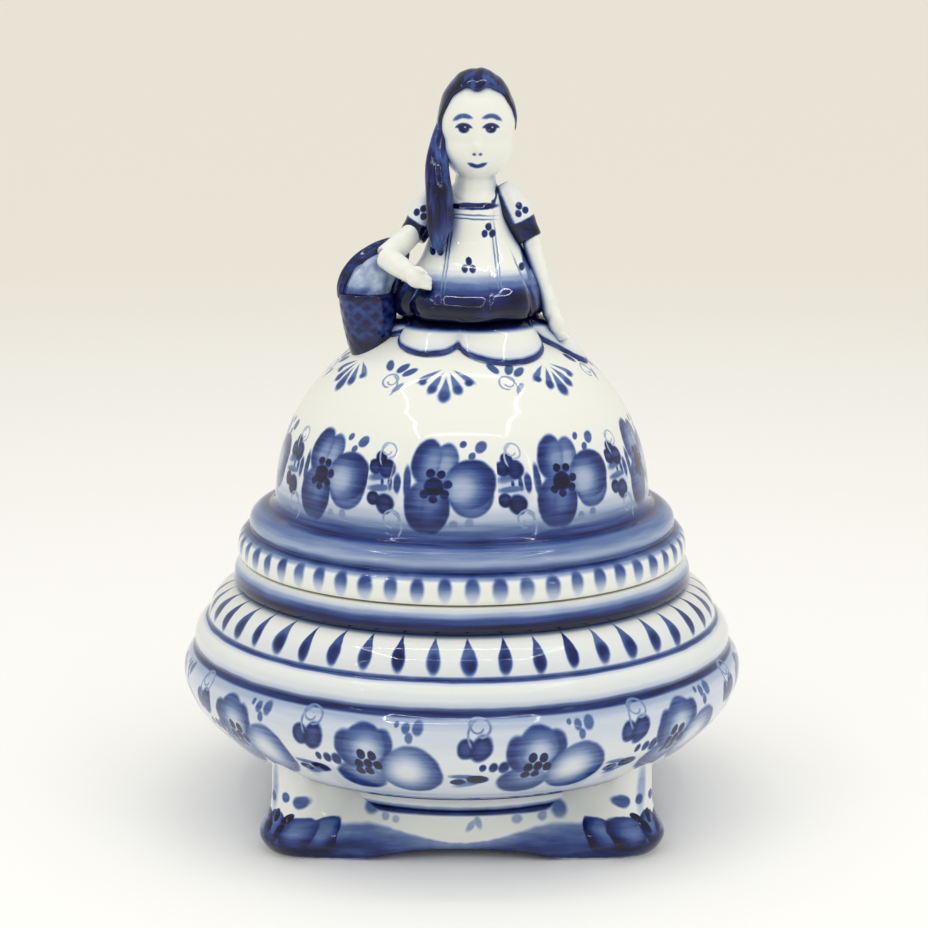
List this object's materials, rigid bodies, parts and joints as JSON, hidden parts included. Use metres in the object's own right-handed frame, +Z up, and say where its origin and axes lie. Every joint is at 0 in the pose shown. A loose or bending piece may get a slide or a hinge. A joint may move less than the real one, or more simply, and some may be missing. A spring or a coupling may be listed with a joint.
{
  "type": "covered porcelain bowl",
  "caption": "Covered porcelain bowl for sweets or sugar, round on a square foot, with a domed lift-off lid whose knob is a seated figure with a basket.",
  "frame": {"origin": "on the table, under the middle of the square foot and on the axis of the round bowl", "axes": "+Z up through the figure, -Y to the front that the figure faces, +X to the figure's left hand"},
  "size_m": [0.1292, 0.1292, 0.17],
  "materials": {
    "bowl_porcelain": "glossy transparent glaze over hand-painted cobalt",
    "foot_porcelain": "glossy transparent glaze over hand-painted cobalt",
    "lid_porcelain": "glossy transparent glaze over hand-painted cobalt",
    "bisque_ring": "white glazed porcelain with an unglazed seat",
    "figure_porcelain": "glossy transparent glaze over white porcelain",
    "gown_porcelain": "glossy transparent glaze over hand-painted cobalt",
    "hair_porcelain": "glossy transparent glaze over hand-painted cobalt",
    "sleeve_porcelain": "glossy transparent glaze over hand-painted cobalt",
    "basket_porcelain": "glossy transparent glaze over hand-painted cobalt"
  },
  "bodies": {
    "bowl": {"bowl_body": "bowl_porcelain", "foot_plinth": "foot_porcelain"},
    "lid": {"lid_dome": "lid_porcelain", "lid_locating_ring": "bisque_ring", "petticoat": "figure_porcelain", "dress": "gown_porcelain", "head": "figure_porcelain", "hair": "hair_porcelain", "ponytail": "hair_porcelain", "right_sleeve": "sleeve_porcelain", "left_sleeve": "sleeve_porcelain", "right_arm": "figure_porcelain", "left_arm": "figure_porcelain", "basket_body": "basket_porcelain", "basket_cloth": "basket_porcelain", "basket_handle": "basket_porcelain"}
  },
  "joints": [
    {"name": "lid_lift", "type": "slide", "parent": "bowl", "child": "lid", "axis": [0, 0, 1], "range_m": [0, 0.1]}
  ]
}
